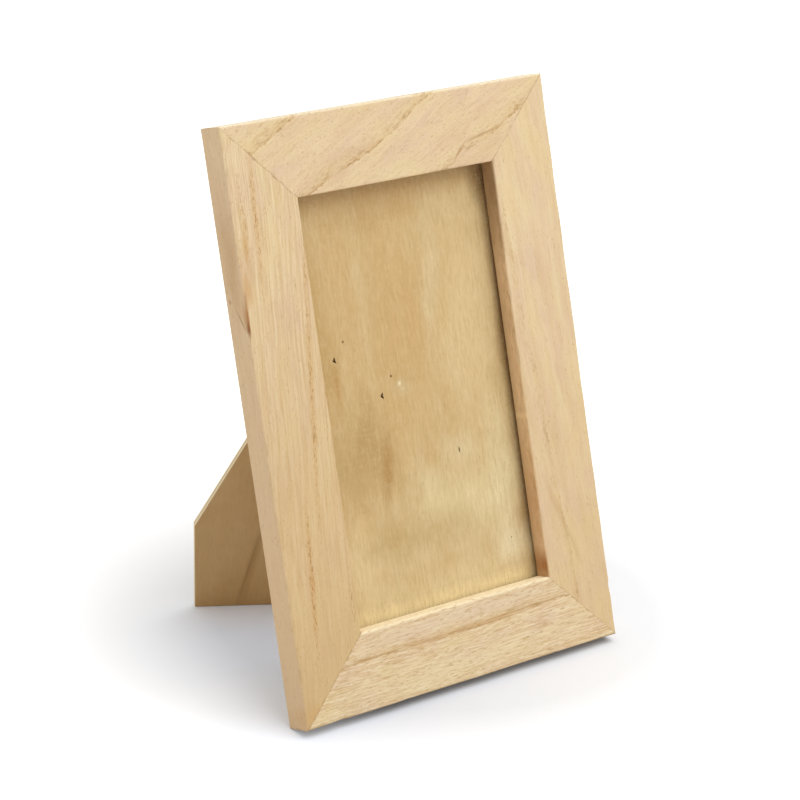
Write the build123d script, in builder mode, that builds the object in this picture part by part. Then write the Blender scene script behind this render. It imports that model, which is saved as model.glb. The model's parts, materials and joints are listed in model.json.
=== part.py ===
from build123d import *
from math import cos, radians, sin
import os

os.makedirs("parts", exist_ok=True)

# Moulding, in millimetres and degrees
frame_w = 157.0
frame_h = 230.0
rail_w = 31.0
rail_t = 12.0
edge_round = 0.6
lean_deg = 17.5

# Rebate and what lies in it
rebate_w = 6.5
pane_t = 2.0
board_t = 3.0
rebate_gap = 0.5
rebate_depth = pane_t + board_t

# V-nails across the backs of the mitres
nail_arm = 4.5
nail_t = 0.6
nail_h = 7.0
nail_steps = [0.24 * rail_w, 0.52 * rail_w]

# Turn buttons and their screws
button_t = 1.2
button_head_r = 4.5
button_tip_r = 2.5
button_reach = 11.5
button_lip_h = 0.9
button_lap = 4.5
screw_r = 1.2
screw_length = 7.0
screw_head_r = 2.6
screw_head_h = 1.4
pilot_gap = 0.05
turning_gap = 0.08
seat_gap = 0.1
side_button_u = 0.65 * frame_h

# Butt hinge, set askew on the board
hinge_x = -0.1032 * frame_w
hinge_u = 0.594 * frame_h
hinge_deg = 40.0
hinge_len = 34.0
leaf_w = 18.0
leaf_t = 0.8
leaf_round = 2.0
pin_r = 0.9
pin_gap = 0.05
knuckle_r = pin_r + pin_gap + leaf_t
knuckle_count = 5
knuckle_gap = 0.2
swing_gap = 0.35
axis_m = knuckle_r + 0.3

# Pins through the hinge leaves
rivet_r = 0.55
rivet_head_r = 1.15
rivet_gap = 0.03
rivet_span = 26.7
rivet_rows = [5.75, 14.25]

# Easel leg, drawn as it lies when folded
leg_t = 3.0
leg_open_deg = 45.0
leg_top_w = 43.8
leg_shoulder_inset = 1.1
leg_shoulder_u = 0.195 * frame_h
leg_foot_inset = 3.9
leg_foot_w = 39.0
leg_overrun = 30.0
heel_length = 8.0
heel_gap = 0.1
notch_gap = 0.5

# Directions of the leaning frame and of the open leg
lean = radians(lean_deg)
skew = radians(hinge_deg)
opening = radians(leg_open_deg)
across = Vector(1, 0, 0)
up = Vector(0, sin(lean), cos(lean))
front = Vector(0, -cos(lean), sin(lean))
back = Vector(0, cos(lean), -sin(lean))
along_hinge = across * cos(skew) - up * sin(skew)
folded_down = across * -sin(skew) - up * cos(skew)
leg_down = folded_down * cos(opening) + back * sin(opening)
leg_out = back * cos(opening) - folded_down * sin(opening)


def hinge_coords(x, u):
    dx = x - hinge_x
    du = u - hinge_u
    return (dx * cos(skew) - du * sin(skew), -dx * sin(skew) - du * cos(skew))


leg_in = leaf_t / 2
leg_outer = leg_in + leg_t
shoulder = hinge_coords(-frame_w / 2 + leg_shoulder_inset, leg_shoulder_u)
foot_left = hinge_coords(-frame_w / 2 + leg_foot_inset, 0)
foot_right = hinge_coords(-frame_w / 2 + leg_foot_inset + leg_foot_w, 0)
top_left = (-leg_top_w / 2, 0.0)
top_right = (leg_top_w / 2, 0.0)


def past(start, end, extra):
    run = Vector(*end) - Vector(*start)
    tip = Vector(*end) + run.normalized() * extra
    return (tip.X, tip.Y)


# The row's origin is halfway between the front bottom edge and the foot's rear corner
axis_from_stand = across * hinge_x + up * hinge_u + back * axis_m
foot_run = along_hinge * (foot_left[0] - shoulder[0]) + leg_down * (foot_left[1] - shoulder[1])
shoulder_rear = axis_from_stand + along_hinge * shoulder[0] + leg_down * shoulder[1] + leg_out * leg_outer
foot_rear = shoulder_rear - foot_run * (shoulder_rear.Z / foot_run.Z)
front_y = -rail_t * cos(lean) + edge_round * (sin(lean) + cos(lean) - 1)
stand = Vector(0, -(front_y + foot_rear.Y) / 2, 0)

frame_plane = Plane(origin=stand, x_dir=across, z_dir=front)
ground_plane = Plane.XY
axis_point = stand + axis_from_stand
board_hinge_plane = Plane(origin=stand + across * hinge_x + up * hinge_u, x_dir=along_hinge, z_dir=back)
leg_plane = Plane(origin=axis_point, x_dir=along_hinge, z_dir=leg_out)
knuckle_plane = Plane(origin=axis_point, x_dir=folded_down, z_dir=along_hinge)
leg_knuckle_plane = Plane(origin=axis_point, x_dir=leg_down, z_dir=along_hinge)


def on_back(x, u):
    return stand + across * x + up * u


# Sides of the frame: middle of the outer edge, way inwards, length
sides = {
    "top_rail": (on_back(0, frame_h), up * -1, frame_w),
    "bottom_rail": (on_back(0, 0), up, frame_w),
    "left_stile": (on_back(-frame_w / 2, frame_h / 2), across, frame_h),
    "right_stile": (on_back(frame_w / 2, frame_h / 2), across * -1, frame_h),
}

# Turn-button screws: one on each side, set so that the tip laps the board
screw_inset = rail_w - rebate_w + rebate_gap + button_lap - button_reach - button_tip_r
button_planes = {
    "top_rail": Plane(origin=on_back(0, frame_h - screw_inset), x_dir=up * -1, z_dir=back),
    "bottom_rail": Plane(origin=on_back(0, screw_inset), x_dir=up, z_dir=back),
    "left_stile": Plane(origin=on_back(screw_inset - frame_w / 2, side_button_u), x_dir=across, z_dir=back),
    "right_stile": Plane(origin=on_back(frame_w / 2 - screw_inset, side_button_u), x_dir=across * -1, z_dir=back),
}

# V-nails, two at each corner, their arms along the two rails
with BuildPart() as corner_nails:
    for x_way in (1, -1):
        for u_way in (1, -1):
            corner_x = -x_way * frame_w / 2
            corner_u = 0 if u_way > 0 else frame_h
            for step in nail_steps:
                arms = [
                    (0, 0),
                    (nail_arm, 0),
                    (nail_arm, nail_t),
                    (nail_t, nail_t),
                    (nail_t, nail_arm),
                    (0, nail_arm),
                ]
                outline = [(corner_x + x_way * (step + a), corner_u + u_way * (step + b)) for a, b in arms]
                with BuildSketch(frame_plane):
                    with BuildLine():
                        Polyline(*outline, close=True)
                    make_face()
                extrude(amount=nail_h)
corner_nails.part.label = "corner_nails"
export_step(corner_nails.part, "parts/corner_nails.step")


def rail(name):
    middle, inwards, length = sides[name]
    along = inwards.cross(front)
    section = Plane(origin=middle, x_dir=inwards, z_dir=along)
    with BuildPart() as piece:
        with BuildSketch(section) as profile:
            with BuildLine():
                Polyline(
                    (0, 0),
                    (rail_w - rebate_w, 0),
                    (rail_w - rebate_w, rebate_depth),
                    (rail_w, rebate_depth),
                    (rail_w, rail_t),
                    (0, rail_t),
                    close=True,
                )
            make_face()
            fillet(profile.vertices().group_by(Axis.Y)[-1], radius=edge_round)
        extrude(amount=length / 2, both=True)
        split(bisect_by=Plane(origin=middle + along * (length / 2), z_dir=inwards + along), keep=Keep.BOTTOM)
        split(bisect_by=Plane(origin=middle - along * (length / 2), z_dir=inwards - along), keep=Keep.BOTTOM)
        with BuildSketch(button_planes[name]):
            Circle(screw_r + pilot_gap)
        extrude(amount=-screw_length - seat_gap, mode=Mode.SUBTRACT)
        add(corner_nails.part, mode=Mode.SUBTRACT)
    return piece


# Mitred and rebated rails and stiles
for rail_name in sides:
    made = rail(rail_name)
    made.part.label = rail_name
    export_step(made.part, f"parts/{rail_name}.step")

# Pane and board, loose in the rebate
inner_w = frame_w - 2 * (rail_w - rebate_w) - 2 * rebate_gap
inner_h = frame_h - 2 * (rail_w - rebate_w) - 2 * rebate_gap
board_plane = Plane(origin=on_back(0, frame_h / 2), x_dir=across, z_dir=front)

with BuildPart() as glazing_pane:
    with BuildSketch(board_plane.offset(board_t)):
        Rectangle(inner_w, inner_h)
    extrude(amount=pane_t)
glazing_pane.part.label = "glazing_pane"
export_step(glazing_pane.part, "parts/glazing_pane.step")

rivet_places = [(way * rivet_span / 2, row) for way in (-1, 1) for row in rivet_rows]
leg_rivet_places = [(x, -y) for x, y in rivet_places]
rivet_length = leaf_t + board_t
board_rivet_plane = board_hinge_plane.offset(leaf_t)
leg_rivet_plane = Plane(origin=axis_point - leg_out * leg_in, x_dir=along_hinge, z_dir=leg_out * -1)


def rivet_shape(plane, places, length, gap, mode):
    with BuildSketch(plane) as heads:
        with Locations(*places):
            Circle(rivet_head_r + gap)
    extrude(heads.sketch, amount=-(rivet_head_r - rivet_r), taper=45, mode=mode)
    with BuildSketch(plane) as shanks:
        with Locations(*places):
            Circle(rivet_r + gap)
    extrude(shanks.sketch, amount=-length, mode=mode)


with BuildPart() as backing_board:
    with BuildSketch(board_plane):
        Rectangle(inner_w, inner_h)
    extrude(amount=board_t)
    rivet_shape(board_rivet_plane, rivet_places, rivet_length, rivet_gap, Mode.SUBTRACT)
backing_board.part.label = "backing_board"
export_step(backing_board.part, "parts/backing_board.step")

with BuildPart() as board_rivets:
    rivet_shape(board_rivet_plane, rivet_places, leaf_t + board_t, 0, Mode.ADD)
board_rivets.part.label = "board_rivets"
export_step(board_rivets.part, "parts/board_rivets.step")

with BuildPart() as leg_rivets:
    rivet_shape(leg_rivet_plane, leg_rivet_places, leaf_t + leg_t, 0, Mode.ADD)
leg_rivets.part.label = "leg_rivets"
export_step(leg_rivets.part, "parts/leg_rivets.step")

# Hinge knuckles, taken in turn by the board leaf and the leg leaf
knuckle_len = (hinge_len - (knuckle_count - 1) * knuckle_gap) / knuckle_count
knuckle_starts = [-hinge_len / 2 + i * (knuckle_len + knuckle_gap) for i in range(knuckle_count)]
board_starts = knuckle_starts[0::2]
leg_starts = knuckle_starts[1::2]
notch_depth = knuckle_r + swing_gap


def leaf_outline(plane, notch_starts):
    with BuildSketch(plane) as flat:
        with Locations((0, leaf_w / 2)):
            Rectangle(hinge_len, leaf_w)
        fillet(flat.vertices().group_by(Axis.Y)[-1], radius=leaf_round)
        for start in notch_starts:
            with Locations((start + knuckle_len / 2, 0)):
                Rectangle(knuckle_len + 2 * knuckle_gap, 2 * notch_depth, mode=Mode.SUBTRACT)
    extrude(flat.sketch, amount=leaf_t)


with BuildPart() as hinge_board_leaf:
    leaf_outline(board_hinge_plane, leg_starts)
    for start in board_starts:
        with BuildSketch(knuckle_plane.offset(start)):
            Circle(knuckle_r)
            with Locations((knuckle_r / 2, -axis_m / 2)):
                Rectangle(knuckle_r, axis_m)
        extrude(amount=knuckle_len)
    with BuildSketch(knuckle_plane.offset(-hinge_len / 2)):
        Circle(pin_r + pin_gap)
    extrude(amount=hinge_len, mode=Mode.SUBTRACT)
    rivet_shape(board_rivet_plane, rivet_places, leaf_t, rivet_gap, Mode.SUBTRACT)
hinge_board_leaf.part.label = "hinge_board_leaf"
export_step(hinge_board_leaf.part, "parts/hinge_board_leaf.step")

with BuildPart() as hinge_leg_leaf:
    leaf_outline(leg_plane.offset(-leg_in), board_starts)
    for start in leg_starts:
        with BuildSketch(leg_knuckle_plane.offset(start)):
            Circle(knuckle_r)
        extrude(amount=knuckle_len)
    with BuildSketch(leg_knuckle_plane.offset(-hinge_len / 2)):
        Circle(pin_r + pin_gap)
    extrude(amount=hinge_len, mode=Mode.SUBTRACT)
    rivet_shape(leg_rivet_plane, leg_rivet_places, leaf_t, rivet_gap, Mode.SUBTRACT)
hinge_leg_leaf.part.label = "hinge_leg_leaf"
export_step(hinge_leg_leaf.part, "parts/hinge_leg_leaf.step")

with BuildPart() as hinge_pin:
    with BuildSketch(knuckle_plane.offset(-hinge_len / 2)):
        Circle(pin_r)
    extrude(amount=hinge_len)
hinge_pin.part.label = "hinge_pin"
export_step(hinge_pin.part, "parts/hinge_pin.step")

# Leg: its foot is cut by the table and its heels bear on the board when it is open
with BuildPart() as easel_leg:
    with BuildSketch(leg_plane.offset(leg_in)):
        with BuildLine():
            Polyline(
                past(shoulder, top_left, heel_length),
                shoulder,
                past(shoulder, foot_left, leg_overrun),
                past(top_right, foot_right, leg_overrun),
                past(foot_right, top_right, heel_length),
                close=True,
            )
        make_face()
    extrude(amount=leg_t)
    with BuildSketch(leg_plane.offset(leg_in)):
        with Locations((0, notch_depth + notch_gap / 2 - heel_length)):
            Rectangle(hinge_len + 2 * notch_gap, 2 * heel_length)
    extrude(amount=leg_t, mode=Mode.SUBTRACT)
    rivet_shape(leg_rivet_plane, leg_rivet_places, leaf_t + leg_t, rivet_gap, Mode.SUBTRACT)
    split(bisect_by=ground_plane, keep=Keep.TOP)
    split(bisect_by=board_hinge_plane.offset(heel_gap), keep=Keep.TOP)
easel_leg.part.label = "easel_leg"
export_step(easel_leg.part, "parts/easel_leg.step")


def turn_button(plane):
    with BuildPart() as piece:
        with BuildSketch(plane):
            Circle(button_head_r)
            with Locations((button_reach, 0)):
                Circle(button_tip_r)
            make_hull()
        extrude(amount=button_t)
        with BuildSketch(plane.offset(button_t)):
            with Locations((button_reach, 0)):
                Circle(button_tip_r)
        extrude(amount=button_lip_h, taper=35)
        with BuildSketch(plane):
            Circle(screw_r + turning_gap)
        extrude(amount=button_t, mode=Mode.SUBTRACT)
    return piece


# Turn buttons, each free to turn on its screw
for rail_name, button_plane in button_planes.items():
    button_name = "turn_button_" + rail_name.split("_")[0]
    made = turn_button(button_plane)
    made.part.label = button_name
    export_step(made.part, f"parts/{button_name}.step")

with BuildPart() as turn_button_screws:
    for button_plane in button_planes.values():
        head_seat = button_plane.offset(button_t + seat_gap)
        with BuildSketch(head_seat):
            Circle(screw_head_r)
        extrude(amount=screw_head_h, taper=20)
        with BuildSketch(head_seat):
            Circle(screw_r)
        extrude(amount=-(button_t + seat_gap + screw_length))
turn_button_screws.part.label = "turn_button_screws"
export_step(turn_button_screws.part, "parts/turn_button_screws.step")
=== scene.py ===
import json
import math
from functools import partial

import bmesh
import bpy
from mathutils import Matrix, Vector


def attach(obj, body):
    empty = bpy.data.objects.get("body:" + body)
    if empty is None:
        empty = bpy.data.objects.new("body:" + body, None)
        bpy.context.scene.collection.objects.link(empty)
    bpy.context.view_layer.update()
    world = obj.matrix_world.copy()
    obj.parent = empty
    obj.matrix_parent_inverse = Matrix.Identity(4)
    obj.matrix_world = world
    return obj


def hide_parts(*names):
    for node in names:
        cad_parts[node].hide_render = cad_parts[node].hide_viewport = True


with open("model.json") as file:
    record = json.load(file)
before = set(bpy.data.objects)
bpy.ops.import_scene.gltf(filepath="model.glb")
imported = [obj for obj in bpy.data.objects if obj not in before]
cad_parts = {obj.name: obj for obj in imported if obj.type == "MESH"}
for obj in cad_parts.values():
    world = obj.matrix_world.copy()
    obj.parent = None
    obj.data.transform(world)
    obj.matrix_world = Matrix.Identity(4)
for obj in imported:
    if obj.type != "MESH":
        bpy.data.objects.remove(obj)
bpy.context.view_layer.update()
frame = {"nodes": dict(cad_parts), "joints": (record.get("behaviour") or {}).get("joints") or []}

scene = bpy.context.scene
nodes = frame["nodes"]
joints = {joint["name"]: joint for joint in frame["joints"]}
mm = 0.001

# the frame leans back: its own directions, and its front face's bottom middle
back = Vector(joints["button_top_turn"]["axis"])
front = -back
across = Vector((1, 0, 0))
upward = front.cross(across)
sideNames = ("top_rail", "bottom_rail", "left_stile", "right_stile")


def reach(names, direction):
    spots = [vertex.co.dot(direction) for name in names for vertex in nodes[name].data.vertices]
    return min(spots), max(spots)


leftEdge, rightEdge = reach(sideNames, across)
lowEdge, highEdge = reach(sideNames, upward)
backFace, frontFace = reach(sideNames, front)
frameWidth = (rightEdge - leftEdge) / mm
frameHeight = (highEdge - lowEdge) / mm
frameStart = upward * lowEdge + front * frontFace


def onFrame(x, u, n=0.0):  # millimetres across, up and out of the front face
    return frameStart + (across * x + upward * u + front * n) * mm


print("frame", round(frameWidth, 1), "x", round(frameHeight, 1), "mm")


def linear(colour):
    parts = [int(colour[i:i + 2], 16) / 255 for i in (1, 3, 5)]
    return (*[p / 12.92 if p <= 0.04045 else ((p + 0.055) / 1.055) ** 2.4 for p in parts], 1.0)


# kind, and after a space its operation; a kind with no Node in its name is a shader node
# a node given as an input links by its first output
def addNode(tree, kind, inputs=(), **settings):
    kind, *operation = kind.split()
    node = tree.nodes.new(kind if "Node" in kind else "ShaderNode" + kind)
    if operation:
        node.operation = operation[0]
    for name, value in settings.items():
        setattr(node, name, value)
    named = inputs.items() if isinstance(inputs, dict) else enumerate(inputs)
    for key, value in named:
        if isinstance(value, bpy.types.Node):
            value = value.outputs[0]
        if isinstance(value, bpy.types.NodeSocket):
            tree.links.new(value, node.inputs[key])
        else:
            node.inputs[key].default_value = value
    return node


def newMaterial(name):
    material = bpy.data.materials.new(name)
    material.use_nodes = True
    tree = material.node_tree
    tree.nodes.clear()
    return material, partial(addNode, tree)


def ownMillimetres(put, middle, grain, cross, face):  # the piece's own directions, measured from its middle
    turn = Matrix((grain, cross, face))
    return put("Mapping", {
        "Vector": put("TexCoord").outputs["Object"],
        "Location": -(turn @ middle) / mm,
        "Rotation": turn.to_euler(),
        "Scale": (1 / mm,) * 3,
    })


def streaked(put, where, size, drawn=(0, 0, 0), **look):  # noise stretched to a size along and across
    along, over = size
    stretch = (where, (1 / along, 1 / over, 1 / over), drawn)
    cells = put("VectorMath MULTIPLY_ADD", stretch)
    return put("TexNoise", {"Vector": cells, "Scale": 1.0, **look})


def layered(put, base, tones):  # tone, value, where it starts, where it is full, strength
    colour = linear(base)
    for tone, value, low, high, depth in tones:
        amount = put("MapRange", (value, low, high, 0.0, depth))
        mixed = put("Mix", {0: amount, 6: colour, 7: linear(tone)}, data_type="RGBA")
        colour = mixed.outputs[2]
    return colour


# camera, fitted to the photograph's corners: place and axes in frame millimetres
cameraView = {
    "place": (-710.03, 269.91, 936.63),
    "right": (0.78343, -0.13973, 0.60557),
    "up": (0.19078, 0.98142, -0.02035),
    "lens": 137.45,
    "sensor": 36.0,
}


def makeCamera(view):
    data = bpy.data.cameras.new("camera")
    data.lens = view["lens"]
    data.sensor_width = view["sensor"]
    camera = bpy.data.objects.new("camera", data)
    scene.collection.objects.link(camera)
    turned = [across * a + upward * b + front * c for a, b, c in (view["right"], view["up"])]
    right = turned[0].normalized()
    up = (turned[1] - right * turned[1].dot(right)).normalized()
    rotation = Matrix((right, up, right.cross(up))).transposed().to_4x4()
    camera.matrix_world = Matrix.Translation(onFrame(*view["place"])) @ rotation
    scene.camera = camera


makeCamera(cameraView)
print("camera set")


# moulding: four lengths with a rebate, mitred, swept by Geometry Nodes
moulding = {
    "Width": 31.0,
    "Thickness": frontFace / mm - backFace / mm,
    "Rebate Width": 6.5,
    "Rebate Depth": 5.0,
    "Edge Round": 0.6,
    "Arris": 0.12,
    "Outline Step": 0.35,
    "Station Step": 1.6,
    "Waviness": 0.05,
    "Nick Depth": 0.55,
    "Nick Reach": 1.5,
    "Wear": 0.25,
    "Wear Reach": 2.4,
    "Edge Band": 0.3,  # nicks and wear are full within this
    "Mitre Start": 0.5,
    "Mitre Guard": 5.0,
}
# hand sanding: size of its waves, nicks and rubbed lengths, along and across
sanding = {"wave": (25.0, 25.0), "nick": (25 / 3, 5.0), "rub": (200 / 9, 50.0)}
stainEdge = {"ragged": (1.6, 1.6, 0), "outer": 1.15, "inner": 0.25}


# soft ragged patches: middle x and u, width, height, reach in depth, tilt, tone, strength
def stained(put, spot, fray, stains, gaps=0.0):
    tones = []
    for x, u, width, height, depth, tilt, tone, strength in stains:
        share = put("Mapping", {
            "Vector": spot,
            "Location": (x, u, 0),
            "Rotation": (0, 0, math.radians(tilt)),
            "Scale": (width / 2, height / 2, depth),
        }, vector_type="TEXTURE")
        edge = put("VectorMath MULTIPLY_ADD", (fray, stainEdge["ragged"], share))
        far = put("VectorMath LENGTH", {0: edge}).outputs["Value"]
        broken = put("Math ADD", (far, gaps))
        tones.append((tone, broken, stainEdge["outer"], stainEdge["inner"], strength))
    return tones


# paulownia, sanded and left raw: pale and matt, dashes of open pores, brown veins where growth rings start
def rawPaulownia(name, wood):
    material, put = newMaterial(name)
    local = ownMillimetres(put, wood["middle"], wood["grain"], wood["cross"], front)
    onFace = ownMillimetres(put, onFrame(0, 0), across, upward, front)
    onSide = ownMillimetres(put, onFrame(-frameWidth / 2, 0), front, upward, -across)

    # growth rings, bent a little along the grain and frayed by the pores
    sway = streaked(put, local, wood["swaySize"], Detail=4.0)
    sway.normalize = False
    sideways = (sway.outputs["Color"], (0, wood["sway"], wood["sway"]), local)
    bent = put("VectorMath MULTIPLY_ADD", sideways)
    grain = streaked(put, bent, wood["poreSize"], Detail=2.5, Roughness=0.6)
    section = put("VectorMath MULTIPLY", (bent, (0, 1, 1)))
    pith = Vector((0, *wood["pith"]))
    radius = put("VectorMath DISTANCE", (section, pith)).outputs["Value"]
    frayed = put("Math MULTIPLY_ADD", (grain, wood["fray"], radius))
    start = (Vector((0, wood["ringAt"], 0)) - pith).length + wood["fray"] / 2
    ringWidth = wood["ringWidth"]
    counted = (frayed, 1 / ringWidth, 20 - start / ringWidth)  # 20 rings more, so none is negative
    ring = put("Math MULTIPLY_ADD", counted)
    share = put("Math FRACT", {0: ring})

    # vein: a thin line where a ring starts, fading on one side, stronger and weaker along the grain
    broken = streaked(put, local, wood["breakSize"], Detail=3.0)
    strength = put("MapRange", (broken, 0.36, 0.62, 0.1, 1.0))
    line = put("MapRange", (share, 0.0, wood["lineWidth"] / ringWidth, 1.0, 0.0))
    line = put("Math MULTIPLY", (line, strength))
    fade = put("MapRange", (share, 0.0, wood["veinWidth"] / ringWidth, 1.0, 0.0))
    fade = put("Math POWER", (fade, 2.0))
    vein = put("Math MULTIPLY", (fade, strength))

    # flecks: dashes about twice the size of a pore, in the veins only
    length, width = [side * wood["fleckSize"] for side in wood["poreSize"]]
    lump = streaked(put, bent, (length / 0.45, width / 0.5), Detail=2.0)
    some = put("MapRange", (lump, wood["fleckFrom"], wood["fleckFrom"] + 0.08))
    fleck = put("Math MULTIPLY", (some, vein))
    between = put("MapRange", {0: some, 3: 1.2, 4: 0.0})

    # open pores: dashes along the grain, thick in the veins
    crowd = put("Math MULTIPLY_ADD", (vein, wood["veinPores"], grain))
    full = put("MapRange", (broken, 0.35, 0.65, 0.02, -0.02))
    crowd = put("Math ADD", (crowd, full))
    pore = put("MapRange", (crowd, wood["poreFrom"], wood["poreFrom"] + 0.13))

    # fibres, stripes along the grain and mottled patches of tone
    fibre = streaked(put, bent, wood["fibreSize"], Detail=4.0, Roughness=0.65)
    stripe = streaked(put, bent, (wood["stripeLength"], wood["stripe"]), Detail=3.0)
    patch = streaked(put, local, wood["patchSize"], Detail=6.0, Roughness=0.6)
    hues = put("SeparateColor", {0: patch.outputs["Color"]}).outputs
    fray = put("VectorMath SUBTRACT", (patch.outputs["Color"], (0.5, 0.5, 0.5)))

    # mitre: a thin broken line of end grain
    spot = put("TexCoord").outputs["Object"]
    gaps = []
    for corner, outwards in wood["mitres"]:
        out = put("VectorMath DOT_PRODUCT", (spot, outwards / mm)).outputs["Value"]
        gaps.append(put("Math SUBTRACT", (corner.dot(outwards) / mm, out)))
    nearest = put("Math MINIMUM", (gaps[0], gaps[1]))
    crumb = put("TexNoise", {"Vector": local, "Scale": 0.5, "Detail": 3.0}, normalize=False)
    ragged = put("Math MULTIPLY_ADD", (crumb, 0.55, nearest))
    seam = put("MapRange", (ragged, 0.05, 0.45, 1.0, 0.0))
    glue = put("Math MULTIPLY", (seam, strength))

    # outer side, inner wall with saw marks and a painted shade towards its back edge, and a slow change of
    # tone along the length
    inwards = wood["inwards"] / mm
    fromEdge = put("VectorMath DOT_PRODUCT", (spot, inwards)).outputs["Value"]
    fromSide = put("Math SUBTRACT", (fromEdge, wood["edgeAt"]))
    lengthwise = put("SeparateXYZ", {0: local})
    behind = put("SeparateXYZ", {0: onFace}).outputs[2]
    inner = moulding["Width"]
    wall = put("MapRange", (fromSide, inner - wood["wallReach"], inner - 0.05))
    tooth = streaked(put, local, wood["sawSize"], Detail=4.0, Roughness=0.65)
    sawn = put("MapRange", (tooth, 0.42, 0.68))
    # darker towards the back edge of the inner wall, by the glass and board: painted shade
    rear = put("MapRange", (behind, -2.5, -7.0, 0.0, 1.0))
    sawnAndShade = put("Math MAXIMUM", (sawn, rear))
    sawnAndShade = put("Math MULTIPLY", (sawnAndShade, wall))

    tone = wood["tones"]
    colour = layered(put, tone["base"], (
        (tone["rose"], hues[0], 0.42, 0.62, wood["roseDepth"]),
        (tone["straw"], hues[1], 0.44, 0.64, wood["strawDepth"]),
        (tone["smudge"], hues[2], 0.5, 0.7, wood["smudgeDepth"]),
        (tone["pale"], stripe, 0.5, 0.7, wood["stripeDepth"]),
        (tone["deep"], stripe, 0.5, 0.3, wood["stripeDepth"]),
        (tone["fibre"], fibre, 0.48, 0.75, wood["fibreDepth"]),
        (tone["tan"], lengthwise, wood["tanFrom"], wood["tanTo"], wood["tanDepth"]),
        (tone["side"], fromSide, wood["sideReach"], 0.05, wood["sideDepth"]),
        (tone["wall"], wall, 0.0, 1.0, wood["wallDepth"]),
        (tone["sawn"], sawnAndShade, 0.0, 1.0, wood["sawnAndShadeDepth"]),
        *stained(put, onFace, fray, wood["stains"]),
        *stained(put, onSide, fray, wood["sideStains"]),
        *stained(put, onFace, fray, wood["fleckRows"], between),
        (tone["vein"], vein, 0.0, 1.0, wood["veinDepth"]),
        (tone["pore"], pore, 0.0, 1.0, wood["poreDepth"]),
        (tone["fleck"], fleck, 0.0, 0.7, wood["fleckDepth"]),
        (tone["line"], line, 0.0, 1.0, wood["lineDepth"]),
        (tone["glue"], glue, 0.0, 1.0, wood["glueDepth"]),
    ))
    height = put("Math MULTIPLY_ADD", (pore, -1.2, fibre))
    shader = put("BsdfPrincipled", {
        "Base Color": colour,
        "Roughness": put("MapRange", (fibre, 0.2, 0.8, 0.6, 0.76)),
        "Normal": put("Bump", {"Strength": 0.35, "Distance": 0.07 * mm, "Height": height}),
        "IOR": 1.46,
        "Specular IOR Level": 0.3,
    })
    put("OutputMaterial", {0: shader})
    return material


def newTree(name, sockets):  # named inputs with their kinds, one geometry out
    tree = bpy.data.node_groups.new(name, "GeometryNodeTree")
    for label, kind in sockets.items():
        tree.interface.new_socket(label, in_out="INPUT", socket_type="NodeSocket" + kind)
    tree.interface.new_socket("Geometry", in_out="OUTPUT", socket_type="NodeSocketGeometry")
    return tree, partial(addNode, tree)


def placedByNumber(put, index, points):  # the place of each point of an outline
    choose = put("GeometryNodeIndexSwitch", data_type="VECTOR")
    for extra in points[2:]:
        choose.index_switch_items.new()
    links = choose.id_data.links
    links.new(index.outputs[0], choose.inputs[0])
    for number, point in enumerate(points, 1):
        spot = put("CombineXYZ", point)
        links.new(spot.outputs[0], choose.inputs[number])
    return choose


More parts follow.
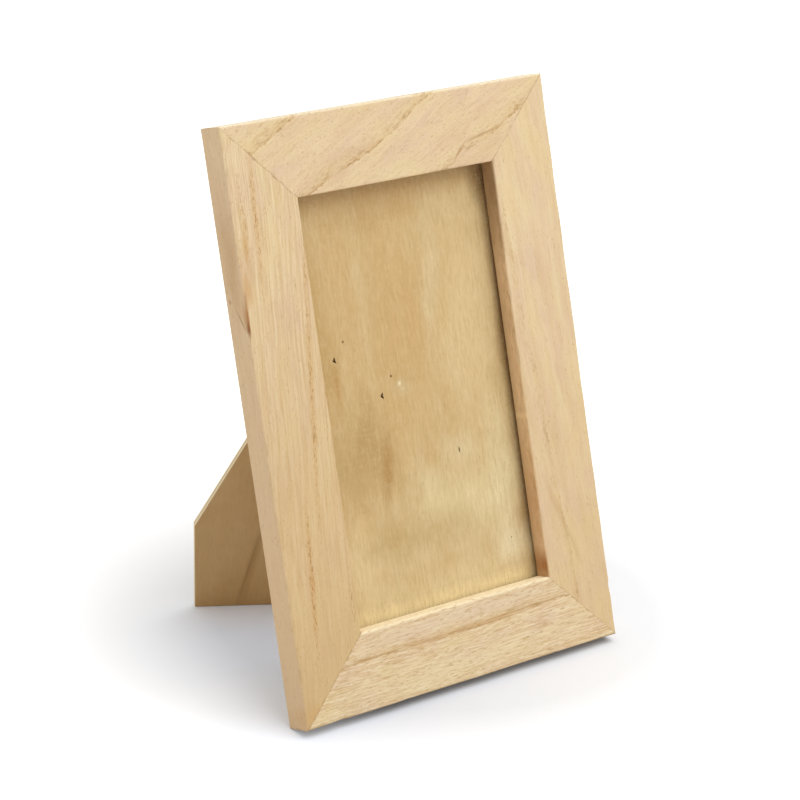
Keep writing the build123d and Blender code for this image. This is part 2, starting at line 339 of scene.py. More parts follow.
def mitredRailTree():
    lengths = dict.fromkeys(("Length", *moulding, "Seed"), "Float")
    tree, put = newTree("mitredRail", {**lengths, "Wood": "Material"})
    size = put("NodeGroupInput").outputs

    # outline: six corners, the front two rounded
    rear = put("Math MULTIPLY", (size["Thickness"], -1.0))
    lip = put("Math ADD", (size["Rebate Depth"], rear))
    step = put("Math SUBTRACT", (size["Width"], size["Rebate Width"]))
    wide = size["Width"]
    corners = ((0.0, 0.0), (wide, 0.0), (wide, lip), (step, lip), (step, rear), (0.0, rear))
    index = put("GeometryNodeInputIndex")
    ring = put("GeometryNodeCurvePrimitiveCircle", {"Resolution": len(corners)})
    spots = placedByNumber(put, index, corners)
    outline = put("GeometryNodeSetPosition", {"Geometry": ring, "Position": spots})
    isFront = put("Math LESS_THAN", (index, 2.0))
    bend = put("MapRange", {0: isFront, 3: size["Arris"], 4: size["Edge Round"]})
    soft = put("GeometryNodeFilletCurve", {"Curve": outline, "Count": 4, "Radius": bend}, mode="POLY")
    profile = put("GeometryNodeResampleCurve", {"Curve": soft, "Length": size["Outline Step"]}, mode="LENGTH")

    # sweep over -1 to 1, then stretch each point to its own mitred length
    line = put("GeometryNodeCurvePrimitiveLine", {"Start": (0, 0, -1), "End": (0, 0, 1)})
    count = put("Math DIVIDE", (size["Length"], size["Station Step"]))
    path = put("GeometryNodeResampleCurve", {"Curve": line, "Count": count}, mode="COUNT")
    swept = put("GeometryNodeCurveToMesh", {"Curve": path, "Profile Curve": profile, "Fill Caps": True})
    swept = put("GeometryNodeFlipFaces", {"Mesh": swept})
    place = put("GeometryNodeInputPosition")
    was = put("SeparateXYZ", {0: place}).outputs
    half = put("Math MULTIPLY", (size["Length"], 0.5))
    ownHalf = put("Math SUBTRACT", (half, was[0]))
    run = put("Math MULTIPLY", (was[2], ownHalf))
    mitred = put("CombineXYZ", (run, was[0], was[1]))
    bar = put("GeometryNodeSetPosition", {"Geometry": swept, "Position": mitred})

    # nicks along the front edges, wear along the outer one
    now = put("SeparateXYZ", {0: place}).outputs
    outer = put("CombineXYZ", {1: now[1], 2: now[2]})
    fromOuter = put("VectorMath LENGTH", {0: outer}).outputs["Value"]
    inset = put("Math SUBTRACT", (now[1], size["Width"]))
    inner = put("CombineXYZ", {1: inset, 2: now[2]})
    fromInner = put("VectorMath LENGTH", {0: inner}).outputs["Value"]
    fromEdge = put("Math MINIMUM", (fromOuter, fromInner))
    drawn = put("CombineXYZ", (size["Seed"], size["Seed"]))
    spans = {name: [side * mm for side in sizes] for name, sizes in sanding.items()}
    wave = streaked(put, place, spans["wave"], drawn, Detail=1.0)
    chip = streaked(put, place, spans["nick"], drawn, Detail=2.0)
    chip.normalize = False
    rub = streaked(put, place, spans["rub"], drawn, Detail=1.0)
    bite = put("MapRange", (chip, 0.32, 0.7, 0.0, size["Nick Depth"]))
    band = size["Edge Band"]
    atEdge = put("MapRange", (fromEdge, band, size["Nick Reach"], 1.0, 0.0))
    nick = put("Math MULTIPLY", (bite, atEdge))
    loss = put("MapRange", (rub, 0.4, 0.65, 0.0, size["Wear"]))
    nearEdge = put("MapRange", (fromOuter, band, size["Wear Reach"], 1.0, 0.0))
    worst = put("Math MULTIPLY_ADD", (loss, nearEdge, nick))
    hollow = put("Math MULTIPLY_ADD", (wave, size["Waviness"], worst))

    # none of it at the mitres, where the next length meets this one
    run = put("Math ABSOLUTE", {0: now[0]})
    room = put("Math SUBTRACT", (half, now[1]))
    fromMitre = put("Math SUBTRACT", (room, run))
    fade = put("MapRange", (fromMitre, size["Mitre Start"], size["Mitre Guard"], 0.0, 1.0))
    depth = put("Math MULTIPLY", (hollow, fade))
    inwards = put("Math MULTIPLY", (depth, -1.0))
    normal = put("GeometryNodeInputNormal")
    shift = put("VectorMath SCALE", {0: normal, "Scale": inwards})
    worn = put("GeometryNodeSetPosition", {"Geometry": bar, "Offset": shift})

    smooth = put("GeometryNodeSetShadeSmooth", {"Geometry": worn})
    whole = put("GeometryNodeRealizeInstances", {"Geometry": smooth})
    done = put("GeometryNodeSetMaterial", {"Geometry": whole, "Material": size["Wood"]})
    put("NodeGroupOutput", {"Geometry": done})
    return tree


def setInputs(modifier, values):
    keys = {item.name: item.identifier for item in modifier.node_group.interface.items_tree}
    for name, value in values.items():
        modifier[keys[name]] = value


def workObject(name, mesh):
    worker = bpy.data.objects.new(name, mesh)
    scene.collection.objects.link(worker)
    return worker


def plainMesh(worker, name):  # the evaluated shape as a mesh of its own, placed in its points
    bpy.context.view_layer.update()
    graph = bpy.context.evaluated_depsgraph_get()
    mesh = bpy.data.meshes.new_from_object(worker.evaluated_get(graph))
    mesh.transform(worker.matrix_world)
    bpy.data.objects.remove(worker)
    mesh.name = name
    return workObject(name, mesh)


# how pieces taken from the nodes are cleaned and eased
weldReach = 0.002 * mm
flatAngle = math.radians(0.5)
sharpAngle = math.radians(40)
creaseAngle = math.radians(20)
flatFrom = 8 * mm * mm


def crease(mesh):  # sharp at corners and around broad flat faces
    mesh.shade_smooth()
    mesh.set_sharp_from_angle(angle=creaseAngle)
    sharp = mesh.attributes["sharp_edge"].data
    for face in mesh.polygons:
        if face.area > flatFrom:
            for corner in face.loop_indices:
                sharp[mesh.loops[corner].edge_index].value = True


def meshFrom(shape, name):
    mesh = bpy.data.meshes.new(name)
    shape.to_mesh(mesh)
    shape.free()
    return mesh


def easedCopy(node, name, width=0.0, shortest=0.0):  # a node's shape in one skin, its sharp edges taken off
    shape = bmesh.new()
    shape.from_mesh(nodes[node].data)
    bmesh.ops.remove_doubles(shape, verts=shape.verts, dist=weldReach)
    bmesh.ops.dissolve_limit(shape, angle_limit=flatAngle, verts=shape.verts, edges=shape.edges)
    if width:
        sharp = [edge for edge in shape.edges if edge.calc_face_angle(0) > sharpAngle]
        long = [edge for edge in sharp if edge.calc_length() > shortest * mm]
        bmesh.ops.bevel(
            shape, geom=long, offset=width * mm, segments=2, profile=0.5, affect="EDGES", clamp_overlap=True
        )
    mesh = meshFrom(shape, name)
    if mesh.has_custom_normals:  # those of the loose triangles
        mesh.attributes.remove(mesh.attributes["custom_normal"])
    crease(mesh)
    return workObject(name, mesh)


def carve(piece, cutter):  # cut faces take the cutter's material
    cut = piece.modifiers.new("cut", "BOOLEAN")
    cut.object = cutter
    cut.operation = "DIFFERENCE"
    cut.solver = "EXACT"
    cut.material_mode = "TRANSFER"
    name = piece.name
    piece.name = name + "_uncut"
    carved = plainMesh(piece, name)
    crease(carved.data)
    return carved


def dress(piece, body, slot, *stoodFor):
    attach(piece, body)
    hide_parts(*stoodFor)


woodTones = {
    "base": "#E4CAA2", "tan": "#CBA871", "rose": "#DDC0A1", "straw": "#E6CE9A", "smudge": "#D6B68C",
    "pale": "#ECD8B1", "deep": "#D3B385", "fibre": "#C8A576", "side": "#E2BE94", "wall": "#DDA970",
    # sawn: tone of the saw marks on the inner wall, and of the painted shade towards its back edge
    "sawn": "#8F6638", "vein": "#CFAC74", "pore": "#B48E5E", "fleck": "#A87E48", "line": "#AB8451",
    "glue": "#A37E4E",
}
woodPlain = {
    "sway": 3.0,
    "pith": (-150.0, -60.0),
    "ringAt": 0.0,
    "ringWidth": 25.0,
    "fray": 2.6,
    "lineWidth": 0.6,
    "lineDepth": 0.35,
    "veinWidth": 6.0,
    "veinDepth": 0.6,
    "veinPores": 0.1,
    "fleckSize": 1.0,
    "fleckFrom": 0.5,
    "fleckDepth": 0.6,
    "poreFrom": 0.57,
    "poreSize": (1.8, 0.45),
    "poreDepth": 0.75,
    "stripe": 1.5,
    "stripeLength": 70.0,
    "stripeDepth": 0.5,
    "fibreDepth": 0.45,
    "roseDepth": 0.85,
    "strawDepth": 0.6,
    "smudgeDepth": 0.4,
    "sideReach": 0.6,
    "sideDepth": 0.6,
    "wallReach": 0.4,
    "wallDepth": 0.5,
    "sawnAndShadeDepth": 0.0,
    "tanFrom": 40.0,
    "tanTo": -110.0,
    "tanDepth": 0.0,
    "glueDepth": 0.6,
    # millimetres along and across the grain
    "swaySize": (60.0, 40.0),
    "breakSize": (11.0, 5.0),
    "fibreSize": (16.0, 0.45),
    "patchSize": (26.0, 11.0),
    "sawSize": (5.0, 0.8),
    "stains": (),
    "sideStains": (),
    "fleckRows": (),
    "tones": woodTones,
}

# each side: middle of its outer edge on the front face, way to the opening, length, own shape and wood
sides = {
    "top_rail": {
        "edge": (0.0, frameHeight), "inwards": -upward, "length": frameWidth, "seed": 3.1,
        "wood": {
            "slant": 24.0, "ringAt": 3.0, "stripeDepth": 0.15, "poreSize": (1.4, 0.5), "poreDepth": 0.5,
            # side: the top face and its rounded front edge near white, a painted highlight where light falls
            # from above
            "smudgeDepth": 0.5, "sideReach": 1.1, "sideDepth": 0.9,
            "tones": {**woodTones, "base": "#E5CBA5", "side": "#F8EACB"},
            "stains": (
                (31.9, 205, 11, 1.2, 6, 45, "#AB824E", 0.7),  # foot of the right-hand vein
                (45, 210.4, 20, 1.2, 6, 12, "#AE8652", 0.6),
            ),
        },
    },
    "bottom_rail": {
        "edge": (0.0, 0.0), "inwards": upward, "length": frameWidth, "seed": 7.7,
        "wood": {
            "slant": 1.0, "ringAt": 4.9, "ringWidth": 34.0, "sway": 1.2, "veinWidth": 4.0, "veinDepth": 0.45,
            "poreFrom": 0.55, "poreSize": (3.2, 0.42), "poreDepth": 0.65, "stripe": 0.7, "stripeLength": 9.0,
            # wall: paler wood on the ledge, brightened to near white and spread over its rounded edge as a
            # painted highlight where the ledge faces up
            "stripeDepth": 0.8, "fleckDepth": 0.5, "lineDepth": 0.2, "smudgeDepth": 0.2, "wallReach": 1.3,
            "wallDepth": 0.95, "sideReach": 0.8, "sideDepth": 0.85,
            # side: the underside and lowest edge dark brown, painted shade under the rail
            "tones": {
                **woodTones, "wall": "#FFF0CC", "side": "#4E3C28", "pore": "#B68F58", "pale": "#EEDDB9",
                "deep": "#CEAD7C",
            },
            "stains": (
                (0, 26, 120, 8, 6, 0.5, "#E2CAAB", 0.6),  # pink upper band
                (0, 8, 140, 14, 6, 0, "#E8D4AB", 0.5),  # pale lower band
                (6, 20.9, 80, 2.8, 6, 1, "#C59B6C", 0.6),  # brown band and its lines
                (12, 20.1, 50, 0.8, 6, 1.5, "#A97D4C", 0.5),
                (34, 21.7, 46, 0.7, 6, 1.2, "#A97F50", 0.5),
                (-40, 20.4, 26, 1, 6, 2, "#AD875A", 0.5),
            ),
        },
    },
    "left_stile": {
        "edge": (-frameWidth / 2, frameHeight / 2), "inwards": across, "length": frameHeight, "seed": 1.4,
        "shape": {"Wear": 0.35},
        "wood": {
            "slant": -4.0, "ringAt": -60.0, "ringWidth": 120.0, "sway": 1.2, "veinDepth": 0.0,
            "lineDepth": 0.0, "fleckDepth": 0.0, "fleckSize": 0.55, "fleckFrom": 0.51, "poreFrom": 0.61,
            "stripe": 1.1, "stripeLength": 45.0, "stripeDepth": 0.7, "fibreDepth": 0.8, "tanFrom": 90.0,
            "tanDepth": 0.7,
            "tones": {**woodTones, "side": "#E6C49C"},
            "stains": (
                (-68, 192, 3, 56, 6, -3, "#D3AC72", 0.5),  # tan under the rows of flecks
                (-54.8, 120, 3, 130, 6, -6.3, "#D0A86E", 0.5),
                (-66.5, 60, 2.6, 80, 6, -4.6, "#CBA066", 0.5),
                (-66, 54, 1.8, 10, 6, -4, "#C98B43", 0.35),
                (-74.5, 184, 2.4, 13, 6, 0, "#C9985A", 0.55),
                (-76, 169, 3, 13, 3, 0, "#CB995A", 0.5),
                (-77.8, 160, 1.5, 22, 1.4, -2.5, "#9E602A", 0.85),  # crack along the edge
                (-78, 154.5, 1.3, 7, 1.7, 0, "#7E431A", 0.75),
                (-73, 4, 16, 12, 14, 0, "#CDA062", 0.5),  # rubbed lower corner
            ),
            # on the outer side: out of the front face and up
            "sideStains": (
                (-6, 181, 15, 48, 2, 0, "#C09868", 0.5),
                (-4.2, 158.2, 1.1, 12, 2, 30, "#9C7342", 0.6),  # crack running over to the back
                (-1.2, 160, 2.4, 13, 2, 0, "#B78650", 0.5),
                (-9.7, 164.6, 1.6, 2.6, 2, 0, "#AB7562", 0.6),
            ),
            "fleckRows": (
                (-68, 192, 2.6, 60, 2, -3, "#A87538", 0.7),
                (-54.8, 120, 2.4, 140, 2, -6.3, "#AD7E44", 0.7),
                (-66.5, 56, 2.6, 84, 2, -4.6, "#A87638", 0.75),
                (-49.6, 46, 2.2, 30, 2, -3, "#AA7B42", 0.7),
                (-73.5, 196, 3, 44, 2, 0, "#B98A50", 0.5),
            ),
        },
    },
    "right_stile": {
        "edge": (frameWidth / 2, frameHeight / 2), "inwards": -across, "length": frameHeight, "seed": 5.9,
        "wood": {
            "slant": 4.0, "ringAt": 8.0, "ringWidth": 40.0, "sway": 2.0, "veinDepth": 0.3, "lineDepth": 0.0,
            "fleckDepth": 0.25, "poreFrom": 0.62, "stripe": 2.8, "stripeLength": 45.0, "stripeDepth": 0.3,
            # inner wall: warm cut wood, its tone lifted as painted bounce light; saw marks, and painted shade
            # towards its back edge, in the sawn tone
            "tanDepth": 0.35, "glueDepth": 0.35, "sawnAndShadeDepth": 0.4,
            "tones": {**woodTones, "wall": "#FAD3A3"},
            "stains": (
                (58.5, 52, 3.4, 46, 6, 19, "#C6A274", 0.4),  # slanting streak
                (57.5, 110, 5, 60, 6, 6, "#D7B68E", 0.5),
                (66, 150, 6, 50, 6, 4, "#D8B78F", 0.45),
                (47.4, 192, 2, 62, 18, 0, "#6B4520", 0.7),  # dark upper inner wall
                (47.4, 140, 1.6, 50, 14, 0, "#8A6640", 0.12),
                (47.4, 97, 1.4, 3, 14, 0, "#F0D2A0", 0.7),
                (47.4, 62, 1.6, 50, 14, 0, "#C08850", 0.4),
                (47.4, 36, 1.6, 14, 14, 0, "#A0622D", 0.8),  # rust brown at its foot
            ),
        },
    },
}


slotGap = 0.4  # how far the V-nails' slots stay open at the back face


def makeSides():
    tree = mitredRailTree()
    cutters = [easedCopy("corner_nails", "nail_slots"), easedCopy("turn_button_screws", "pilot_holes")]
    cutters[0].data.transform(Matrix.Translation(back * slotGap * mm))
    for node, side in sides.items():
        inwards = side["inwards"]
        along = inwards.cross(front)
        edge = onFrame(*side["edge"])
        halfLength = side["length"] / 2 * mm
        wood = {**woodPlain, **side["wood"]}
        grain = along * math.copysign(1, along.dot(across + upward))
        grain.rotate(Matrix.Rotation(math.radians(wood["slant"]), 3, front))
        ends = [along, -along]
        wood.update({
            "grain": grain,
            "cross": front.cross(grain),
            "middle": edge + inwards * moulding["Width"] / 2 * mm,
            "inwards": inwards,
            "edgeAt": edge.dot(inwards) / mm,
            "mitres": [(edge + end * halfLength, (end + inwards).normalized()) for end in ends],
        })
        material = rawPaulownia("raw paulownia " + node.replace("_", " "), wood)

        worker = workObject(node + "_sweep", bpy.data.meshes.new(node))
        worker.matrix_world = Matrix.Translation(edge) @ Matrix((along, inwards, front)).transposed().to_4x4()
        sweep = worker.modifiers.new("sweep", "NODES")
        sweep.node_group = tree
        lengths = {"Length": side["length"], **moulding, **side.get("shape", {})}
        setInputs(sweep, {name: value * mm for name, value in lengths.items()})
        setInputs(sweep, {"Seed": side["seed"], "Wood": material})
        piece = plainMesh(worker, node + "_wood")
        for cutter in cutters:
            piece = carve(piece, cutter)
        dress(piece, "frame", "rail_wood", node)
    for cutter in cutters:
        bpy.data.objects.remove(cutter)


makeSides()
print("rails and stiles swept")


# thin basswood plywood: matt, even grain in soft bands, clouded, a darker core along its edges
def basswoodPlywood(name, ply):
    material, put = newMaterial(name)
    grain, face = ply["grain"], ply["face"]
    local = ownMillimetres(put, ply["middle"], grain, face.cross(grain), face)
    drift = put("TexNoise", {"Vector": local, "Scale": 1 / ply["driftSize"], "Detail": 2.0}, normalize=False)
    sideways = (drift.outputs["Color"], (0, ply["drift"], 0), local)
    bent = put("VectorMath MULTIPLY_ADD", sideways)
    fibre = streaked(put, bent, ply["fibreSize"], Detail=3.0, Roughness=0.6)
    band = streaked(put, bent, ply["bandSize"], ply["drawn"], Detail=3.0)
    cloud = streaked(put, local, ply["cloudSize"], ply["drawn"], Detail=4.0, Distortion=0.6)
    hues = put("SeparateColor", {0: cloud.outputs["Color"]}).outputs
    speck = streaked(put, local, ply["speckSize"], Detail=2.0)
    ripple = streaked(put, local, ply["rippleSize"], Detail=2.0)
    mottle = streaked(put, local, ply["mottleSize"], Detail=3.0)
    depth = put("SeparateXYZ", {0: local}).outputs[2]
    fromCore = put("Math ABSOLUTE", {0: depth})
    onFace = ownMillimetres(put, ply["faceMiddle"], grain.cross(face), grain, face)
    fray = put("VectorMath SUBTRACT", (cloud.outputs["Color"], (0.5, 0.5, 0.5)))
    tone = ply["tones"]
    faceAt, coreAt = ply["thickness"] / 2, ply["thickness"] / 6
    tones = (
        (tone["warm"], band, 0.45, 0.7, ply["bandDepth"]),
        (tone["light"], band, 0.5, 0.28, ply["bandDepth"]),
        (tone["light"], hues[0], 0.48, 0.7, ply["cloudDepth"]),
        *stained(put, onFace, fray, ply["stains"]),
        (tone["dull"], hues[1], 0.48, 0.7, ply["cloudDepth"]),
        (tone["fibre"], fibre, 0.45, 0.75, ply["fibreDepth"]),
        (tone["light"], ripple, 0.5, 0.72, ply["rippleDepth"]),
        (tone["pale"], mottle, 0.5, 0.72, ply["mottleDepth"]),
        (tone["fibre"], mottle, 0.5, 0.28, ply["mottleDepth"]),
        (tone["light"], speck, 0.42, 0.28, ply["speckDepth"]),
        (tone["fibre"], speck, 0.6, 0.75, ply["speckDepth"]),
        (tone["edge"], fromCore, faceAt - 0.05, faceAt - 0.15, 1.0),
        (tone["core"], fromCore, coreAt + 0.1, coreAt, 1.0),
        # painted shade laid over the face, such as the leg's contact shadow at its foot
        *stained(put, onFace, fray, ply["footShade"]),
    )
    shader = put("BsdfPrincipled", {
        "Base Color": layered(put, tone["base"], tones),
        "Roughness": put("MapRange", (band, 0.3, 0.7, 0.62, 0.74)),
        "Normal": put("Bump", {"Strength": 0.25, "Distance": 0.05 * mm, "Height": fibre}),
        "IOR": 1.46,
        "Specular IOR Level": 0.3,
    })
    put("OutputMaterial", {0: shader})
    return material


# torn wood at the pin holes: dark brown splinters, dull
def tornWood(name):
    material, put = newMaterial(name)
    local = ownMillimetres(put, onFrame(0, 0), upward, front.cross(upward), front)
    splinter = put("TexNoise", {"Vector": local, "Scale": 2.5, "Detail": 3.0})
    shade = layered(put, "#5A3A10", (("#3A2206", splinter, 0.4, 0.65, 1.0),))
    shader = put("BsdfPrincipled", {"Base Color": shade, "Roughness": 0.85, "Specular IOR Level": 0.1})
    put("OutputMaterial", {0: shader})
    return material


boardFront = (reach(("backing_board",), front)[1] - frontFace) / mm
plywood = {
    "bandDepth": 0.48,
    "cloudDepth": 0.45,
    "fibreDepth": 0.36,
    "speckDepth": 0.55,
    "rippleDepth": 0.15,
    "mottleDepth": 0.14,
    # millimetres along and across the grain
    "fibreSize": (6.0, 0.6),
    "bandSize": (150.0, 9.0),
    "cloudSize": (42.0, 26.0),
    "speckSize": (1.6, 0.5),
    "rippleSize": (0.9, 7.0),
    "mottleSize": (5.0, 1.4),
    "driftSize": 45.0,
    "drift": 1.2,
    "thickness": 3.0,
    "drawn": (0.0, 0.0, 0.0),
    "stains": (),
    # painted shade over the face; none on the board
    "footShade": (),
    "tones": {
        "base": "#D3B37E", "warm": "#CEA66C", "light": "#DCC593", "pale": "#EEDDB2",
        "dull": "#C8AB74", "fibre": "#B48F58", "edge": "#D3B07A", "core": "#B48C56",
    },
}
board = {
    "ease": 0.15,
    "shortest": 2.5,
    # torn pits where two hinge pins came through: middle, then corners about it, in mm across and up
    "tornPits": (
        (-35.3, 134.4, ((0.1, 1.5), (-0.9, 0.1), (0.8, -1.5))),
        (-15.2, 116.8, ((0.5, 1.6), (-1.0, 0.0), (0.6, -1.5))),
    ),
    # a scratch and a prick: middle, width, height
    "pricks": ((18.5, 88.8, 0.7, 3.2), (38.6, 48.9, 0.6, 0.7)),
    "pitDepth": 1.5,
    "pitReach": 2.0,
    "prickDepth": 0.4,
    "cutterLift": 0.1,
    # how far under the board's face the pins end, in the pits and elsewhere
    "pinDepth": 1.9,
    "tipDepth": 0.03,
    # stains on the face
    "stains": (
        (-3, 145, 26, 130, 2, -9, "#D0A76C", 0.5),  # warm upright band
        (36, 140, 36, 150, 2, 0, "#E8D09C", 0.6),  # paler right side
        (-27, 95, 32, 52, 2, -5, "#B6945A", 0.75),  # old water mark
        (18, 66, 80, 34, 2, 11, "#EEDBAA", 0.75),  # pale cloud, low on the right
        (38, 80, 20, 60, 2, 0, "#F1E0B2", 0.75),
        (-36, 50, 24, 38, 2, 0, "#EAD39F", 0.7),
        (-18, 63, 12, 15, 2, 0, "#C49F62", 0.5),
        (-40, 94, 8, 30, 2, 0, "#A88A50", 0.3),
        (-18, 86, 7.5, 38, 2, -6, "#AF8246", 0.75),  # brown run
        (-35.5, 124, 4, 20, 2, 0, "#C0904F", 0.6),  # rust below a pin
        (0, 36, 130, 20, 2, 4, "#EBD4A0", 0.55),  # paler along the ledge and strongest at its foot, painted light where the ledge shades the board; darker along the top, a painted shadow under the top rail
        (0, 30.5, 400, 11.5, 2, 0, "#FFE6AC", 0.9),
        (0, 198, 130, 18, 2, 0, "#C29A60", 0.7),
        # darker along the left-hand lip: painted shade
        (-45, 155, 16, 110, 2, 0, "#BE985A", 0.6),
        (-8, 60.5, 62, 20, 2, 0, "#BC9C62", 0.6),  # tan smear low on the left
        (38, 47, 26, 24, 2, 0, "#F6E6BC", 0.75),
        (-11.5, 82, 9, 22, 2, 0, "#B8945A", 0.45),
        (4, 80, 14, 16, 2, 0, "#EAD7A8", 0.5),  # greyer, paler patches
        (19, 89, 20, 16, 2, 0, "#EDDCB0", 0.5),
        (16, 160, 10, 60, 2, -9, "#E6D3A6", 0.55),
        (-6, 119, 12, 10, 2, 0, "#DCCBA0", 0.4),
        (-5, 186, 60, 14, 2, 0, "#BE965C", 0.4),
        (-38, 130, 12, 40, 2, 0, "#B48C4C", 0.45),
        (49, 125, 9, 260, 2, 0, "#8A5A28", 0.75),  # painted shade in the gap under the right-hand lip, darkest in the top corner
        (47, 196, 14, 30, 2, 0, "#6E4418", 0.7),
        (-6.3, 120.2, 2.2, 2.2, 2, 0, "#F8ECC6", 0.9),  # pale chips
        (-5, 117.9, 2, 2.2, 2, 0, "#EFDFB0", 0.6),
    ),
}


def pitCutter(name, material):
    shape = bmesh.new()
    pits = [(x, u, corners, board["pitDepth"]) for x, u, corners in board["tornPits"]]
    turns = [math.radians(60 * step) for step in range(6)]
    for x, u, width, height in board["pricks"]:
        corners = [(width / 2 * math.cos(turn), height / 2 * math.sin(turn)) for turn in turns]
        pits.append((x, u, corners, board["prickDepth"]))
    over = boardFront + board["cutterLift"]
    for x, u, corners, depth in pits:
        rim = [shape.verts.new(onFrame(x + dx, u + du, over)) for dx, du in corners]
        deep = shape.verts.new(onFrame(x, u, boardFront - depth))
        shape.faces.new(rim)
        for first, second in zip(rim, rim[1:] + rim[:1]):
            shape.faces.new((first, second, deep))
    bmesh.ops.recalc_face_normals(shape, faces=shape.faces)
    mesh = meshFrom(shape, name)
    mesh.materials.append(material)
    return workObject(name, mesh)


def makeBoard():
    ply = {
        **plywood,
        "middle": onFrame(0, frameHeight / 2, boardFront - plywood["thickness"] / 2),
        "faceMiddle": onFrame(0, 0, boardFront),
        "grain": upward,
        "face": front,
        "stains": board["stains"],
    }
    piece = easedCopy("backing_board", "backing_board_ply", board["ease"], board["shortest"])
    piece.data.materials.append(basswoodPlywood("basswood plywood board", ply))
    cutter = pitCutter("pin_pits", tornWood("torn plywood"))
    piece = carve(piece, cutter)
    bpy.data.objects.remove(cutter)
    dress(piece, "frame", "plywood", "backing_board")


makeBoard()
print("board pitted")


pane = {"gap": 0.05, "groundEdge": 0.3, "sheen": 0.06, "smearSize": 30.0, "tint": "#E6EFEA"}


# picture glass with a coat against glare: clear, a weak sheen, smeared a little
def coatedGlass(name):
    material, put = newMaterial(name)
    spot = put("TexCoord").outputs["Object"]
    smear = put("TexNoise", {"Vector": spot, "Scale": 1 / (pane["smearSize"] * mm), "Detail": 2.0})
    haze = put("MapRange", (smear, 0.4, 0.7, 0.02, 0.08))
    clear = put("BsdfTransparent", {"Color": (1, 1, 1, 1)})
    sheen = put("BsdfPrincipled", {"Base Color": linear(pane["tint"]), "Metallic": 1.0, "Roughness": haze})
    mirror = put("Fresnel", {"IOR": 1.5})
    coat = put("Math MULTIPLY", (mirror, pane["sheen"]))
    both = put("MixShader", (coat, clear, sheen))
    put("OutputMaterial", {0: both})
    return material


def makePane():
    piece = easedCopy("glazing_pane", "glazing_pane_glass", pane["groundEdge"])
    low, high = reach(("glazing_pane",), front)
    thinner = (high - low - 2 * pane["gap"] * mm) / (high - low)
    middle = front * (low + high) / 2
    squeeze = Matrix.Translation(middle) @ Matrix.Scale(thinner, 4, front) @ Matrix.Translation(-middle)
    piece.data.transform(squeeze)  # clear of the board and the lip by the gap
    piece.data.materials.append(coatedGlass("coated picture glass"))
    dress(piece, "frame", "pane_glass", "glazing_pane")


makePane()
print("pane glazed")


leg = {
    "ease": 0.35,
    "shortest": 2.5,
    # painted contact shadow along the foot
    "footShadeWidth": 160.0,
    "footShadeHeight": 2.4,
    "footShadeTone": "#4A3824",
    "bandDepth": 0.25,
    "cloudDepth": 0.45,
    "fibreDepth": 0.15,
    "speckDepth": 0.25,
    "rippleDepth": 0.0,
    "mottleDepth": 0.1,
    "drawn": (3.7, 1.3, 0.4),
    "stains": (
        (-29.5, -105, 5, 56, 6, -10.7, "#A5814F", 0.5),  # painted shadow of the frame falling across the leg
        (-31, -108, 1.6, 40, 6, -10.7, "#97754A", 0.5),
    ),
    "tones": {
        "base": "#C9A573", "warm": "#C09863", "light": "#D1B484", "pale": "#DCC398",
        # edge and core pale: a painted highlight on the leg's cut edges
        "dull": "#BE9B69", "fibre": "#AE8A5A", "edge": "#EFDDB8", "core": "#DCC294",
    },
}


def makeLeg():
    shape = nodes["easel_leg"].data
    face = max(shape.polygons, key=lambda polygon: polygon.area).normal.copy()
    face *= math.copysign(1, face.dot(front))
    middle = sum((vertex.co for vertex in shape.vertices), Vector()) / len(shape.vertices)
    middle += face * (sum(reach(("easel_leg",), face)) / 2 - middle.dot(face))
    ply = {**plywood, **leg, "middle": middle, "faceMiddle": middle, "face": face}
    upright = Vector((0, 0, 1))
    ply["grain"] = (upright - face * face.z).normalized()
    foot = -middle.z / ply["grain"].z / mm
    # a dark strip along the foot: painted contact shadow
    ply["footShade"] = ((0.0, foot, leg["footShadeWidth"], leg["footShadeHeight"], 6.0, 0.0, leg["footShadeTone"], 0.8),)
    piece = easedCopy("easel_leg", "easel_leg_ply", leg["ease"], leg["shortest"])
    piece.data.materials.append(basswoodPlywood("basswood plywood leg", ply))
    dress(piece, "leg", "plywood", "easel_leg")


makeLeg()
print("leg made")


# plated or plain metal, stamped or drawn: bright, finely scratched, duller in patches
def workedMetal(name, metal):
    material, put = newMaterial(name)
    spot = put("TexCoord").outputs["Object"]
    drawn = put("VectorMath DIVIDE", (spot, metal["scratch"]))
    scratch = put("TexNoise", {"Vector": drawn, "Scale": 1 / mm, "Detail": 3.0})
    stain = put("TexNoise", {"Vector": spot, "Scale": 1 / (metal["patch"] * mm), "Detail": 3.0})
    colour = layered(put, metal["bright"], (
        (metal["dull"], stain, 0.42, 0.7, 0.8),
        (metal["dull"], scratch, 0.5, 0.8, 0.4),
    ))
    low, high = metal["roughness"]
    shader = put("BsdfPrincipled", {
        "Base Color": colour,
        "Metallic": 1.0,
        "Roughness": put("MapRange", (stain, 0.35, 0.7, low, high)),
        "Normal": put("Bump", {"Strength": 0.2, "Distance": 0.02 * mm, "Height": scratch}),
    })
    put("OutputMaterial", {0: shader})
    return material


# zinc plated steel, rolled: cool grey, drawn one way
zincPlate = workedMetal("zinc plated steel", {
    "bright": "#C8CACB", "dull": "#A3A6A6",
    "scratch": (2.0, 0.3, 2.0), "patch": 5.0, "roughness": (0.28, 0.45),
})
# iron pins, cut and rusted: brown and dull
pinIron = workedMetal("rusted iron pins", {
    "bright": "#9C7A4C", "dull": "#6E4E28",
    "scratch": (0.4, 0.4, 0.4), "patch": 2.0, "roughness": (0.5, 0.7),
})
# bare steel strip, bent: grey, a little tarnished
nailSteel = workedMetal("plain steel strip", {
    "bright": "#A9A8A4", "dull": "#7F7B74",
    "scratch": (0.4, 0.4, 0.4), "patch": 3.0, "roughness": (0.35, 0.55),
})
